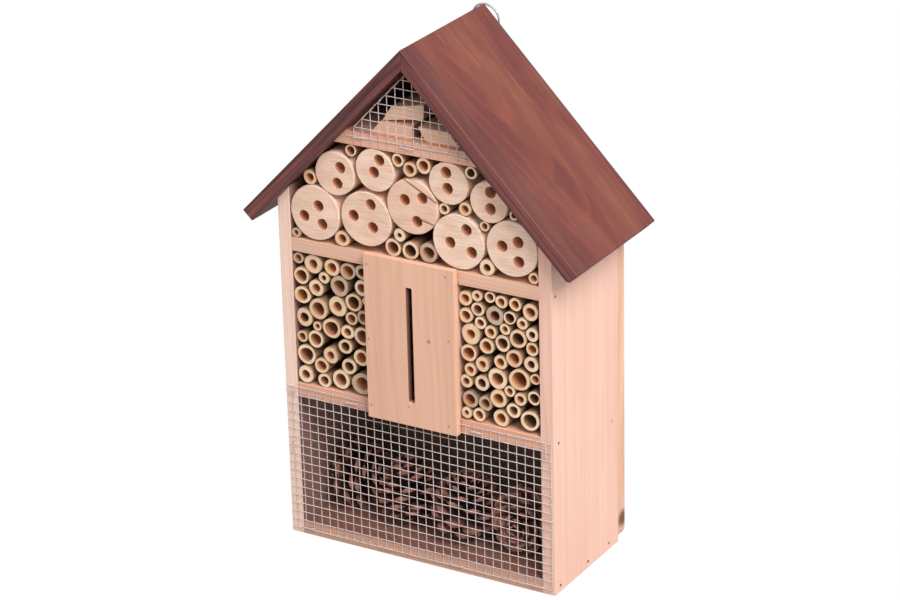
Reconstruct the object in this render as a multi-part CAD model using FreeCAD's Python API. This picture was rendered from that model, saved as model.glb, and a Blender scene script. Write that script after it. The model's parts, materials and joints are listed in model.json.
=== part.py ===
import FreeCAD, Part
import math
import os
from FreeCAD import Vector

# Insect hotel: a small pitched-roof timber box filled with drilled logs, canes, cones and offcuts.
# Millimetres, +Z up, +X to the right of someone facing the front, and the front faces -Y.
# While the pieces are made, Y is counted from the front face of the timber body, where Y = 0.
# Each piece is then moved back by MIDDLE_Y, which puts the origin at the centre of the base.

# ---- driving dimensions ----
BODY_WIDTH = 206.0
BOARD = 9.5                      # thickness of every plain board
BODY_DEPTH = 99.3                # front face to the rear of the back panel
LOWER_SHELF_Z = 104.5            # undersides of the shelves
UPPER_SHELF_Z = 210.0
GABLE_SHELF_Z = 293.0
RIDGE_UNDERSIDE_Z = 352.4
ROOF_PITCH = math.radians(46.0)
ROOF_BOARD = 9.6
EAVE_X = 119.0                   # lower corner of each roof board, from the middle
ROOF_OVERHANG = 7.7              # in front of the body
BACK_CORNER_RADIUS = 8.0

PANEL_BOARD = 4.5                # the slotted panel is a thinner board than the rest
PANEL_WIDTH = 68.4
PANEL_BOTTOM_Z = 103.8
PANEL_TOP_Z = 221.2
SLOT_WIDTH = 4.6
SLOT_BOTTOM_Z = 120.2            # this end is round, as the cutter left it
SLOT_TOP_Z = 203.0               # this end is cut nearly square
SLOT_TOP_CORNER = 1.2
DIVIDER_OUTER_X = 33.2

WIRE = 0.65                      # mesh wire; the two crossing layers are welded
MESH_THICKNESS = 2 * WIRE
MESH_PITCH_X = 6.42
MESH_PITCH_Z = 6.27
LOWER_MESH_LEFT = -102.0
LOWER_MESH_RIGHT = 101.8
LOWER_MESH_BOTTOM = 3.2
LOWER_MESH_TOP = 111.6
LOWER_MESH_WIRE_X = -1.4         # one upright wire and one level wire of each mesh
LOWER_MESH_WIRE_Z = 98.5
GABLE_MESH_BOTTOM = 295.0
GABLE_MESH_WIRE_X = -2.6
GABLE_MESH_WIRE_Z = 325.0
GABLE_FOLD = 11.0                # margin of the gable mesh folded back under the roof
FOLD_ANGLE = 76.0                # how far it is folded from the flat, in degrees
FOLD_CLEARANCE = 3.0             # from the fold to the roof's underside
FOLD_GAP = 0.1

LOG_FRONT_Y = 0.3
LOG_LENGTH = 84.0
LOG_HOLE_DEPTH = 62.0
CANE_END_Y = 89.6                # rear end of every cane, just clear of the back panel
CANE_CLOSED_END = 14.0           # the joint that closes each cane behind its bore
CONTENT_GAP = 0.16               # left between neighbours in a filled bay

NAIL_RADIUS = 0.7
NAIL_HEAD_RADIUS = 1.0
NAIL_HEAD_HEIGHT = 0.6
NAIL_LENGTH = 22.0
PIN_RADIUS = 0.5                 # the finer pins that hold the slotted panel
PIN_HEAD_RADIUS = 0.75
PIN_LENGTH = 15.0
STAPLE_CROWN = 9.0
STAPLE_WIDTH = 1.0
STAPLE_WIRE = 0.6
STAPLE_LEG = 6.0

RING_RADIUS = 10.0               # centre line of the hanging ring
RING_WIRE_RADIUS = 0.8
RING_PIVOT_Z = 345.5
RING_LEAN = math.radians(4.0)    # the ring rests against the ridge
EYE_INNER = 1.9
STRAP_SHEET = 0.8
STRAP_WIDTH = 10.0
EYE_WIDTH = 6.0
STRAP_BOTTOM_Z = 326.5
SCREW_HEAD_RADIUS = 2.6
SCREW_HEAD_HEIGHT = 1.6
SCREW_RADIUS = 1.2
SCREW_LENGTH = 11.0
SCREW_ZS = (330.4, 337.6)

# ---- worked-out dimensions ----
HALF_BODY = BODY_WIDTH / 2
INNER_X = HALF_BODY - BOARD
WALL_DEPTH = BODY_DEPTH - BOARD
DIVIDER_INNER_X = DIVIDER_OUTER_X - BOARD
RISE = math.tan(ROOF_PITCH)
RIDGE_Z = RIDGE_UNDERSIDE_Z + ROOF_BOARD / math.cos(ROOF_PITCH)
PANEL_FRONT_Y = -MESH_THICKNESS - PANEL_BOARD
EYE_OUTER = EYE_INNER + STRAP_SHEET
PIVOT_Y = BODY_DEPTH + EYE_OUTER
REAR_Y = PIVOT_Y + EYE_OUTER
MIDDLE_Y = (REAR_Y - ROOF_OVERHANG) / 2

# ---- contents: where each one stands in the front view, as the bays were filled ----
# Drilled logs: (x, z, radius, holes as (x, z) from the log's own centre).
LOG_HOLE_RADIUS = 3.8
LOGS = [
    (-74.0, 240.1, 19.2, [(2.8, 5.3), (-8.6, -3.5), (5.3, -7.2)]),
    (-57.6, 270.4, 15.3, [(4.2, 4.8), (1.7, -6.6)]),
    (-26.8, 278.0, 14.7, [(3.6, 7.6), (-0.7, -1.5)]),
    (-34.6, 242.8, 19.2, [(3.9, 10.6), (-9.5, 0.9), (5.0, -5.1)]),
    (0.8, 257.6, 19.2, [(-5.6, 3.9), (7.6, 7.1), (3.3, -9.7)]),
    (28.4, 278.2, 14.5, [(-1.5, 7.4), (-0.6, -3.4)]),
    (35.2, 239.2, 19.1, [(6.2, 9.5), (-6.1, -1.4), (9.8, -5.5)]),
    (58.0, 270.8, 14.0, [(1.3, 7.1), (1.1, -4.3)]),
    (74.0, 241.4, 19.0, [(4.5, 5.4), (-7.2, 0.7), (4.8, -8.0)]),
]

# Canes: (x, z, outer radius, bore radius).
LOG_BAY_CANES = [
    (-90, 223.5, 3.6, 1.7), (-55, 225, 5.6, 2.9), (-15.5, 226, 6.3, 4.1), (-1.5, 226.5, 6.3, 4),
    (12, 227.5, 6.9, 4), (56, 225, 5.8, 2.4), (89.5, 224.5, 3.9, 2.2), (-9.5, 236, 4.6, 1.5),
    (-77, 264.5, 5.2, 2.8), (25, 260.5, 4, 2.2), (38.5, 263.5, 4.8, 2.5), (54, 253.5, 3.6, 2.1),
    (76, 265, 3.4, 1.8), (-45, 288.5, 4.2, 2.9), (-9, 288, 4.6, 2.9), (-0.5, 283, 5.2, 3),
    (9.5, 287, 5.6, 3.4), (45, 288.5, 4.4, 2.7),
]
LEFT_BAY_CANES = [
    (-87, 121, 6.2, 3), (-72.5, 119, 5.1, 3), (-59.5, 122.5, 7.1, 4.1), (-42.5, 123, 8, 4.5),
    (-87, 135.5, 7.2, 4.8), (-74, 129.5, 5.6, 3.4), (-52.5, 133.5, 5.8, 3.2), (-66.5, 139, 5.9, 2.7),
    (-42.5, 142, 6.1, 3.6), (-89.5, 148, 4.2, 2.6), (-78, 148.5, 6.2, 4.1), (-55, 147.5, 5.4, 3),
    (-65, 159, 7, 4.8), (-52.5, 158.5, 5.1, 2.6), (-41, 158, 6.7, 4.2), (-76.5, 158, 3.4, 1.7),
    (-87, 162.5, 6.6, 3.2), (-75, 171, 7.6, 4.6), (-49, 169, 4.8, 2.9), (-40, 171.5, 5, 3),
    (-60, 175.5, 7.2, 3.2), (-87, 179, 6.3, 3.9), (-47, 181, 6.5, 4.2), (-38, 183.5, 2.8, 1.2),
    (-76, 186, 5.8, 2.9), (-58, 190.5, 7.3, 4.2), (-69.5, 194.5, 4.2, 1.7), (-40.5, 192.5, 5.7, 3),
    (-87, 193, 6.1, 4), (-89.5, 205, 4, 2.4), (-78, 202.5, 7, 3), (-63, 203, 6, 3.3),
    (-50.5, 202.5, 6, 3.9), (-40, 204, 5.2, 2.7),
]
RIGHT_BAY_CANES = [
    (38, 119.5, 4.2, 1.6), (47.5, 120, 4.9, 2.8), (63.5, 120.5, 6, 3.3), (85.5, 123.5, 7.1, 4.6),
    (73, 128, 5.3, 3), (41, 129.5, 5.9, 3.7), (52.5, 129, 5.2, 3.1), (61.5, 135, 6.3, 3.5),
    (78, 137.5, 4.6, 2.4), (88.5, 140, 4.9, 3.2), (38, 142, 4.7, 2.3), (50, 143, 5.6, 2.9),
    (71, 142, 4, 2.2), (61.5, 148, 7.3, 4.1), (41.5, 151, 4.7, 2.3), (78, 151, 7.8, 5.3),
    (89, 153.5, 3.9, 2.4), (50.5, 156.5, 5.3, 2.4), (64.5, 160, 5, 2.7), (40.5, 163, 5.9, 3.9),
    (73.5, 165, 6.2, 3.8), (87, 164, 5.4, 2.5), (54, 170, 5.6, 3.3), (42, 176, 7.4, 3),
    (66, 174.5, 5.8, 3.6), (87.5, 174.5, 4.8, 2.9), (77.5, 180, 6.4, 4), (57, 180.5, 4.6, 2.5),
    (88, 185, 4.8, 2.2), (67.5, 185, 4, 2), (49, 185, 4.4, 2.4), (39, 189, 5.4, 3),
    (60.5, 192.5, 6.6, 3.3), (71.5, 193.5, 4.6, 3.2), (80.5, 191, 4.1, 2), (48, 195, 4.8, 3),
    (39, 201, 5.3, 2.7), (86.5, 200, 6, 3.2), (47, 204, 4, 1.6), (57, 205, 4, 2.4),
    (65.5, 203.5, 4.5, 2.5), (75.5, 203.5, 4.6, 2.7),
]

# Pine cones: (x, y, z of the middle, radius, length, tilt towards +X, tilt towards +Y), in degrees.
PINE_CONES = [
    (-70.5, 45.0, 32.0, 21.0, 44.0, 78.0, 24.0),
    (-28.5, 35.0, 35.6, 19.6, 50.0, -12.0, 8.0),
    (18.5, 32.0, 35.8, 20.5, 50.0, 10.0, -6.0),
    (62.0, 33.0, 31.2, 20.2, 42.0, 8.0, -84.0),
]
CONE_TIERS = 7

# Offcuts in the gable: (front face outline as (x, z), front y, length back).
OFFCUTS = [
    ([(-31.0, 302.6), (1.0, 302.6), (1.0, 312.0), (-22.5, 312.0)], 3.0, 72.0),
    ([(11.0, 302.6), (36.0, 302.6), (27.5, 312.1), (5.0, 312.1)], 3.4, 66.0),
    ([(-22.0, 312.2), (9.0, 317.4), (9.6, 327.2), (-14.8, 322.6)], 4.0, 74.0),
]

# Staples: (x, z, quarter turns).
GABLE_STAPLES = [(-37.0, 299.4, 0), (-1.0, 298.2, 0), (40.0, 297.6, 0)]
LOWER_STAPLES = [
    (-98.0, 108.0, 0), (-50.0, 108.0, 0), (46.0, 107.6, 0), (98.0, 105.0, 1), (97.6, 55.0, 0),
    (-97.6, 67.0, 1), (-90.0, 5.2, 0), (-27.0, 4.8, 0), (28.0, 5.0, 0), (90.0, 4.8, 0),
]

# Nails as (y, z) on the outside of each side wall, (x, z) on the back, and pins as (x, z) on the panel.
WALL_NAILS = [(7.6, 4.7), (46.0, 4.7), (76.0, 4.7), (7.0, 109.0), (4.6, 213.2)]
BACK_NAILS = [
    (-98.2, 40.0), (-98.2, 120.0), (-98.2, 200.0), (98.2, 40.0), (98.2, 120.0), (98.2, 200.0),
    (-55.0, 4.7), (55.0, 4.7), (-55.0, 109.2), (55.0, 109.2), (-55.0, 214.7), (55.0, 214.7),
    (-30.0, 297.7), (30.0, 297.7),
]
PANEL_PINS = [(-31.4, 113.0), (28.4, 110.0), (-31.6, 161.0), (29.4, 171.2), (-31.4, 214.2), (28.2, 216.2)]


# ---- helpers ----
def roof_underside(x):
    """Height of the roof's underside above the base at a distance from the middle."""
    return RIDGE_UNDERSIDE_Z - RISE * abs(x)


def box(x0, x1, y0, y1, z0, z1):
    return Part.makeBox(x1 - x0, y1 - y0, z1 - z0, Vector(x0, y0, z0))


def prism(outline, y0, y1):
    """A front-view outline of (x, z) points, carried back from y0 to y1."""
    points = [Vector(x, y0, z) for x, z in outline]
    face = Part.Face(Part.makePolygon(points + points[:1]))
    return face.extrude(Vector(0, y1 - y0, 0))


def rod(x, y0, y1, z, radius):
    return Part.makeCylinder(radius, y1 - y0, Vector(x, y0, z), Vector(0, 1, 0))


def save(name, shape):
    shape = shape.copy()
    shape.translate(Vector(0, -MIDDLE_Y, 0))
    if not shape.isValid():
        raise ValueError(name + " is not a valid shape")
    shape.exportStep("parts/" + name + ".step")


def settle(circles, sides):
    """Nudge touching circles apart until all of them clear each other and the bay's sides.

    A circle is [x, z, radius]. A side is (nx, nz, d), a unit normal pointing into the bay, and a
    point is inside where nx * x + nz * z > d. Bigger circles give way less.
    """
    rounds = 1500
    for _ in range(rounds):
        worst = 0.0
        for i, a in enumerate(circles):
            for b in circles[i + 1:]:
                dx = b[0] - a[0]
                dz = b[1] - a[1]
                apart = math.hypot(dx, dz)
                short = a[2] + b[2] + CONTENT_GAP - apart
                if short > 0:
                    worst = max(worst, short)
                    share = b[2] ** 2 / (a[2] ** 2 + b[2] ** 2)
                    ux = dx / apart
                    uz = dz / apart
                    a[0] -= ux * short * share
                    a[1] -= uz * short * share
                    b[0] += ux * short * (1 - share)
                    b[1] += uz * short * (1 - share)
            for nx, nz, d in sides:
                short = d + a[2] + CONTENT_GAP - (nx * a[0] + nz * a[1])
                if short > 0:
                    worst = max(worst, short)
                    a[0] += nx * short
                    a[1] += nz * short
        if worst < CONTENT_GAP / 4:
            break
    return worst


# ---- timber body ----
def side_wall(side):
    outer = roof_underside(HALF_BODY)
    inner = roof_underside(INNER_X)
    outline = [(side * HALF_BODY, 0), (side * HALF_BODY, outer), (side * INNER_X, inner), (side * INNER_X, 0)]
    return prism(outline, 0, WALL_DEPTH)


def shelf(z):
    return box(-INNER_X, INNER_X, 0, WALL_DEPTH, z, z + BOARD)


def gable_shelf():
    under = (RIDGE_UNDERSIDE_Z - GABLE_SHELF_Z) / RISE
    over = (RIDGE_UNDERSIDE_Z - GABLE_SHELF_Z - BOARD) / RISE
    top = GABLE_SHELF_Z + BOARD
    return prism([(-under, GABLE_SHELF_Z), (under, GABLE_SHELF_Z), (over, top), (-over, top)], 0, WALL_DEPTH)


def back_panel():
    eave = roof_underside(HALF_BODY)
    outline = [(-HALF_BODY, 0), (HALF_BODY, 0), (HALF_BODY, eave), (0, RIDGE_UNDERSIDE_Z), (-HALF_BODY, eave)]
    panel = prism(outline, WALL_DEPTH, BODY_DEPTH)
    bottom_corners = [
        edge
        for edge in panel.Edges
        if edge.BoundBox.ZMax < 0.01 and edge.BoundBox.YLength > 1.0
    ]
    return panel.makeFillet(BACK_CORNER_RADIUS, bottom_corners)


def divider(side):
    inner = side * DIVIDER_INNER_X
    outer = side * DIVIDER_OUTER_X
    return box(min(inner, outer), max(inner, outer), 0, WALL_DEPTH, LOWER_SHELF_Z + BOARD, UPPER_SHELF_Z)


def butterfly_panel():
    half = PANEL_WIDTH / 2
    panel = box(-half, half, PANEL_FRONT_Y, -MESH_THICKNESS, PANEL_BOTTOM_Z, PANEL_TOP_Z)
    radius = SLOT_WIDTH / 2
    low = SLOT_BOTTOM_Z + radius
    front = PANEL_FRONT_Y - 1
    slot = box(-radius, radius, front, 0, low, SLOT_TOP_Z)
    corners = [edge for edge in slot.Edges if edge.BoundBox.ZMin > low + 1 and edge.BoundBox.XLength < 0.01]
    slot = slot.makeFillet(SLOT_TOP_CORNER, [edge for edge in corners if edge.BoundBox.ZLength < 0.01])
    slot = slot.fuse(rod(0, front, 0, low, radius))
    return panel.cut(slot).removeSplitter()


def roof_board(side):
    eave_top_x = EAVE_X + ROOF_BOARD * math.sin(ROOF_PITCH)
    outline = [
        (0, RIDGE_UNDERSIDE_Z),
        (0, RIDGE_Z),
        (side * eave_top_x, RIDGE_Z - RISE * eave_top_x),
        (side * EAVE_X, roof_underside(EAVE_X)),
    ]
    return prism(outline, -ROOF_OVERHANG, BODY_DEPTH)


# ---- wire mesh ----
def wire_grid(x0, x1, z0, z1, wire_x, wire_z):
    """A sheet of square mesh at least as large as the given area, as one welded plate."""
    first_x = wire_x + MESH_PITCH_X * math.floor((x0 - wire_x) / MESH_PITCH_X)
    first_z = wire_z + MESH_PITCH_Z * math.floor((z0 - wire_z) / MESH_PITCH_Z)
    columns = math.ceil((x1 - first_x) / MESH_PITCH_X)
    rows = math.ceil((z1 - first_z) / MESH_PITCH_Z)
    last_x = first_x + columns * MESH_PITCH_X
    last_z = first_z + rows * MESH_PITCH_Z
    half = WIRE / 2

    def rectangle(left, right, low, high):
        corners = [Vector(left, 0, low), Vector(right, 0, low), Vector(right, 0, high), Vector(left, 0, high)]
        return Part.makePolygon(corners + corners[:1])

    outline = Part.Face(rectangle(first_x - half, last_x + half, first_z - half, last_z + half))
    holes = []
    for column in range(columns):
        for row in range(rows):
            left = first_x + column * MESH_PITCH_X + half
            low = first_z + row * MESH_PITCH_Z + half
            right = left + MESH_PITCH_X - WIRE
            high = low + MESH_PITCH_Z - WIRE
            holes.append(rectangle(left, right, low, high))
    face = Part.Face([outline.OuterWire] + holes)
    face.validate()
    return face.extrude(Vector(0, -MESH_THICKNESS, 0))


def lower_mesh():
    area = (LOWER_MESH_LEFT, LOWER_MESH_RIGHT, LOWER_MESH_BOTTOM, LOWER_MESH_TOP)
    sheet = wire_grid(*area, LOWER_MESH_WIRE_X, LOWER_MESH_WIRE_Z)
    left, right, low, high = area
    return sheet.common(box(left, right, -MESH_THICKNESS, 0, low, high))


def gable_mesh():
    """The triangle in front of the gable bay, with a margin folded back under each roof board."""
    low = GABLE_MESH_BOTTOM
    peak = RIDGE_UNDERSIDE_Z - FOLD_CLEARANCE / math.cos(ROOF_PITCH)
    reach = (peak - low) / RISE
    sheet = wire_grid(-reach, reach, low, peak, GABLE_MESH_WIRE_X, GABLE_MESH_WIRE_Z)
    mesh = sheet.common(prism([(-reach, low), (reach, low), (0, peak)], -MESH_THICKNESS, 0))
    slope = math.hypot(reach, peak - low)
    shelf_top = GABLE_SHELF_Z + BOARD
    corner_drop = MESH_THICKNESS * math.cos(ROOF_PITCH)
    start = (shelf_top + FOLD_GAP + corner_drop - low) / math.sin(ROOF_PITCH)
    for side in (-1, 1):
        strip = wire_grid(0, slope, -slope, slope, 0, 0)
        strip.rotate(Vector(0, 0, 0), Vector(0, 1, 0), math.degrees(ROOF_PITCH))
        strip = strip.common(box(start, slope - MESH_THICKNESS, -MESH_THICKNESS, 0, 0, GABLE_FOLD))
        strip.rotate(Vector(0, 0, 0), Vector(1, 0, 0), -FOLD_ANGLE)
        strip.translate(Vector(0, 0, -MESH_THICKNESS))
        strip.rotate(Vector(0, 0, 0), Vector(0, 1, 0), -math.degrees(ROOF_PITCH))
        strip.translate(Vector(-reach, 0, low))
        if side > 0:
            strip = strip.mirror(Vector(0, 0, 0), Vector(1, 0, 0))
        mesh = mesh.fuse(strip)
    return max(mesh.Solids, key=lambda solid: solid.Volume)  # without the snips left loose at the corners


# ---- fixings ----
def staple(x, z, quarter_turns):
    half = STAPLE_CROWN / 2
    width = STAPLE_WIDTH / 2
    crown_y = -MESH_THICKNESS - STAPLE_WIRE
    crown = box(-half, half, crown_y, -MESH_THICKNESS, -width, width)
    legs = [
        box(side * half - STAPLE_WIRE / 2, side * half + STAPLE_WIRE / 2, crown_y, STAPLE_LEG, -width, width)
        for side in (-1, 1)
    ]
    shape = crown.fuse(legs).removeSplitter()
    shape.rotate(Vector(0, 0, 0), Vector(0, 1, 0), 90 * quarter_turns)
    shape.translate(Vector(x, 0, z))
    return shape


def nail(head, inward, length=NAIL_LENGTH, radius=NAIL_RADIUS, head_radius=NAIL_HEAD_RADIUS):
    """A nail whose head stands just proud of the surface at the head point."""
    top = head - inward * (NAIL_HEAD_HEIGHT / 2)
    shank = Part.makeCylinder(radius, length, top, inward)
    cap = Part.makeCylinder(head_radius, NAIL_HEAD_HEIGHT, top, inward)
    return shank.fuse(cap).removeSplitter()


def wall_nails():
    nails = []
    for side in (-1, 1):
        for y, z in WALL_NAILS:
            nails.append(nail(Vector(side * HALF_BODY, y, z), Vector(-side, 0, 0)))
    return Part.makeCompound(nails)


def back_nails():
    return Part.makeCompound([nail(Vector(x, BODY_DEPTH, z), Vector(0, -1, 0)) for x, z in BACK_NAILS])


def panel_pins():
    pins = []
    for x, z in PANEL_PINS:
        pins.append(nail(Vector(x, PANEL_FRONT_Y, z), Vector(0, 1, 0), PIN_LENGTH, PIN_RADIUS, PIN_HEAD_RADIUS))
    return Part.makeCompound(pins)


# ---- contents ----
def drilled_log(x, z, radius, holes):
    log = rod(x, LOG_FRONT_Y, LOG_FRONT_Y + LOG_LENGTH, z, radius)
    front = LOG_FRONT_Y - 1
    drills = [rod(x + dx, front, LOG_FRONT_Y + LOG_HOLE_DEPTH, z + dz, LOG_HOLE_RADIUS) for dx, dz in holes]
    return log.cut(Part.makeCompound(drills))


def cane(number, x, z, radius, bore):
    """One cane with its front end cut square, its bore closed by a joint near the rear."""
    recess_steps = 7
    deepest_recess = 1.1
    front = 0.4 + deepest_recess * (number * 3 % recess_steps) / recess_steps
    bore_end = CANE_END_Y - CANE_CLOSED_END
    return rod(x, front, CANE_END_Y, z, radius).cut(rod(x, front - 1, bore_end, z, bore))


def canes(sizes, circles):
    solids = []
    for number, (size, circle) in enumerate(zip(sizes, circles)):
        solids.append(cane(number, circle[0], circle[1], circle[2], size[3]))
    return Part.makeCompound(solids)


def bay_canes(sizes, left, right):
    """Canes settled in one of the two square bays."""
    low = LOWER_SHELF_Z + BOARD
    sides = [(1, 0, left), (-1, 0, -right), (0, 1, low), (0, -1, -UPPER_SHELF_Z)]
    circles = [[x, z, radius] for x, z, radius, bore in sizes]
    print("canes settled to within", settle(circles, sides))
    return canes(sizes, circles)


def log_bay():
    """The drilled logs and the canes among them, settled together under the roof."""
    sin = math.sin(ROOF_PITCH)
    cos = math.cos(ROOF_PITCH)
    roof = -RIDGE_UNDERSIDE_Z * cos
    low = UPPER_SHELF_Z + BOARD
    sides = [(1, 0, -INNER_X), (-1, 0, -INNER_X), (0, 1, low), (0, -1, -GABLE_SHELF_Z)]
    sides += [(-sin, -cos, roof), (sin, -cos, roof)]
    circles = [[x, z, radius] for x, z, radius, holes in LOGS]
    circles += [[x, z, radius] for x, z, radius, bore in LOG_BAY_CANES]
    print("logs settled to within", settle(circles, sides))
    for number, (log, circle) in enumerate(zip(LOGS, circles), 1):
        save("drilled_log_%d" % number, drilled_log(circle[0], circle[1], circle[2], log[3]))
    save("log_bay_canes", canes(LOG_BAY_CANES, circles[len(LOGS):]))


def pine_cone(x, y, z, radius, length, tilt_x, tilt_y):
    """An open cone as tiers of scales round its stalk, widest a third of the way up."""
    outline = [(0, -length / 2)]
    tier = length / CONE_TIERS
    widest = 0.36
    for number in range(CONE_TIERS):
        along = (number + 0.5) / CONE_TIERS
        fullness = math.sin(math.pi * along ** (math.log(0.5) / math.log(widest)))
        tip = radius * max(fullness, 0.35)
        low = -length / 2 + number * tier
        outline.append((0.6 * tip, low))
        outline.append((tip, low + 0.7 * tier))
    outline.append((0, length / 2))
    points = [Vector(r, 0, h) for r, h in outline]
    cone = Part.Face(Part.makePolygon(points + points[:1])).revolve(Vector(0, 0, 0), Vector(0, 0, 1), 360)
    cone.rotate(Vector(0, 0, 0), Vector(0, 1, 0), tilt_x)
    cone.rotate(Vector(0, 0, 0), Vector(1, 0, 0), -tilt_y)
    cone.translate(Vector(x, y, z))
    return cone


# ---- hanger ----
def hanger_strap():
    """A steel strip screwed to the back, with its top end rolled forward into an eye for the ring."""
    half = STRAP_WIDTH / 2
    plate = box(-half, half, BODY_DEPTH, BODY_DEPTH + STRAP_SHEET, STRAP_BOTTOM_Z, RING_PIVOT_Z - EYE_OUTER)
    half = EYE_WIDTH / 2
    neck = box(-half, half, BODY_DEPTH, BODY_DEPTH + STRAP_SHEET, RING_PIVOT_Z - EYE_OUTER, RING_PIVOT_Z)
    start = Vector(-half, PIVOT_Y, RING_PIVOT_Z)
    eye = Part.makeCylinder(EYE_OUTER, EYE_WIDTH, start, Vector(1, 0, 0))
    eye = eye.cut(Part.makeCylinder(EYE_INNER, EYE_WIDTH, start, Vector(1, 0, 0)))
    strap = plate.fuse([neck, eye]).removeSplitter()
    for z in SCREW_ZS:
        strap = strap.cut(rod(0, BODY_DEPTH - 1, BODY_DEPTH + STRAP_SHEET + 1, z, SCREW_RADIUS))
    return strap


def hanger_screws():
    face = BODY_DEPTH + STRAP_SHEET
    screws = []
    for z in SCREW_ZS:
        shank = rod(0, face - SCREW_LENGTH, face, z, SCREW_RADIUS)
        head = rod(0, face, face + SCREW_HEAD_HEIGHT, z, SCREW_HEAD_RADIUS)
        screws.append(shank.fuse(head).removeSplitter())
    return Part.makeCompound(screws)


def hanging_ring():
    """The ring stands up from its eye and leans forward on the ridge."""
    pivot = Vector(0, PIVOT_Y, RING_PIVOT_Z)
    ring = Part.makeTorus(RING_RADIUS, RING_WIRE_RADIUS, pivot + Vector(0, 0, RING_RADIUS), Vector(0, 1, 0))
    ring.rotate(pivot, Vector(1, 0, 0), math.degrees(RING_LEAN))
    return ring


def main():
    os.makedirs("parts", exist_ok=True)
    save("left_side_wall", side_wall(-1))
    save("right_side_wall", side_wall(1))
    save("bottom_board", shelf(0))
    save("lower_shelf", shelf(LOWER_SHELF_Z))
    save("upper_shelf", shelf(UPPER_SHELF_Z))
    save("gable_shelf", gable_shelf())
    save("back_panel", back_panel())
    save("left_divider", divider(-1))
    save("right_divider", divider(1))
    save("butterfly_panel", butterfly_panel())
    save("left_roof_board", roof_board(-1))
    save("right_roof_board", roof_board(1))
    save("lower_mesh", lower_mesh())
    save("gable_mesh", gable_mesh())
    save("gable_staples", Part.makeCompound([staple(*place) for place in GABLE_STAPLES]))
    save("lower_mesh_staples", Part.makeCompound([staple(*place) for place in LOWER_STAPLES]))
    save("wall_nails", wall_nails())
    save("back_nails", back_nails())
    save("panel_pins", panel_pins())
    save("left_bay_canes", bay_canes(LEFT_BAY_CANES, -INNER_X, -DIVIDER_OUTER_X))
    save("right_bay_canes", bay_canes(RIGHT_BAY_CANES, DIVIDER_OUTER_X, INNER_X))
    log_bay()
    for number, cone in enumerate(PINE_CONES, 1):
        save("pine_cone_%d" % number, pine_cone(*cone))
    for number, (outline, front, length) in enumerate(OFFCUTS, 1):
        save("wood_offcut_%d" % number, prism(outline, front, front + length))
    save("hanger_strap", hanger_strap())
    save("hanger_screws", hanger_screws())
    save("hanging_ring", hanging_ring())


main()
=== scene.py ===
import json
import math
import random

import bmesh
import bpy
import numpy as np
from mathutils import Matrix, Vector


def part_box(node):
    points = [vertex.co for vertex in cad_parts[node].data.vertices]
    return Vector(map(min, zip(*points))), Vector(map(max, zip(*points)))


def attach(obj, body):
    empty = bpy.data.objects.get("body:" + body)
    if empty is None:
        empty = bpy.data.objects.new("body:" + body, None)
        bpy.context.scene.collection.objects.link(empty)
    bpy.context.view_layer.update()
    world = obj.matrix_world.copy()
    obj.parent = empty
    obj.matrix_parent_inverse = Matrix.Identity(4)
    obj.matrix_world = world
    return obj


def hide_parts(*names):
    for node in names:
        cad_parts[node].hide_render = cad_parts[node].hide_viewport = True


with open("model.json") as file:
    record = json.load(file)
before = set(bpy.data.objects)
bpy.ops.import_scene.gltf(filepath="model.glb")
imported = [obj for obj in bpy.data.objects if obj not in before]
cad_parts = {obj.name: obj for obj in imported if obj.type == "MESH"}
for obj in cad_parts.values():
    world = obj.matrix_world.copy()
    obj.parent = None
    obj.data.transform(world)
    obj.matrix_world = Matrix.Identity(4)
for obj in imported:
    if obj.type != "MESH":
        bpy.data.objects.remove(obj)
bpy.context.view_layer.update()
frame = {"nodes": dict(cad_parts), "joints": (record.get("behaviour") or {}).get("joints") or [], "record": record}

# Insect hotel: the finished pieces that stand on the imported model. Metres, +Z up, the front faces -Y.

MM = 0.001
HOTEL = "hotel"
RING = "ring"

# ---- sizes read from the frame ----
WALL_LOW, WALL_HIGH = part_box("right_side_wall")
BODY_FRONT = WALL_LOW.y
INNER_X = WALL_LOW.x
BACK_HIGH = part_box("back_panel")[1]
RIDGE_UNDERSIDE = BACK_HIGH.z
ROOF_SLOPE = math.atan2(RIDGE_UNDERSIDE - WALL_HIGH.z, INNER_X)

# ---- sizes of the fittings ----
BOARD = 9.5 * MM
BOARD_EASE = 0.35 * MM                                  # how far a sawn edge is rubbed down
PANEL_EASE = 0.45 * MM
ROOF_EASE = 0.5 * MM
OFFCUT_EASE = 0.3 * MM
STRAP_EASE = 0.12 * MM
SLOT_REACH = 12 * MM                                    # the panel's slot lies within this of its middle
WIRE_RADIUS = 0.30 * MM
WIRE_WANDER = 0.5 * MM
MESH_PITCH_X = 6.42 * MM
MESH_PITCH_Z = 6.27 * MM
LOWER_WIRE_X = -1.4 * MM                                # one upright and one level wire of each mesh
LOWER_WIRE_Z = 98.5 * MM
GABLE_WIRE_X = -2.6 * MM
GABLE_WIRE_Z = 325.0 * MM
GABLE_FOLD = 10.3 * MM
FOLD_ANGLE = math.radians(76)
FOLD_LINE = RIDGE_UNDERSIDE * math.cos(ROOF_SLOPE) - 3.0 * MM      # the fold, measured square to the roof
STAPLE_RADIUS = 0.42 * MM
STAPLE_LEG = 4 * MM
PIN_STAND = 0.28 * MM                                   # a head's middle lies this far inside its pin's end
LOG_HOLE_RADIUS = 3.8 * MM
LOG_HOLE_DEPTH = 61 * MM
LOG_EASE = 0.5 * MM
CANE_CLOSED_END = 14 * MM
RING_WIRE = 0.8 * MM
SCREW_HEAD = 2.6 * MM
SCREW_HEAD_HEIGHT = 1.6 * MM


def tint(red, green, blue):
    """A display colour out of 255 as the scene's linear colour."""
    def linear(value):
        share = value / 255
        return share / 12.92 if share <= 0.04045 else ((share + 0.055) / 1.055) ** 2.4
    return (linear(red), linear(green), linear(blue), 1.0)


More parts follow.
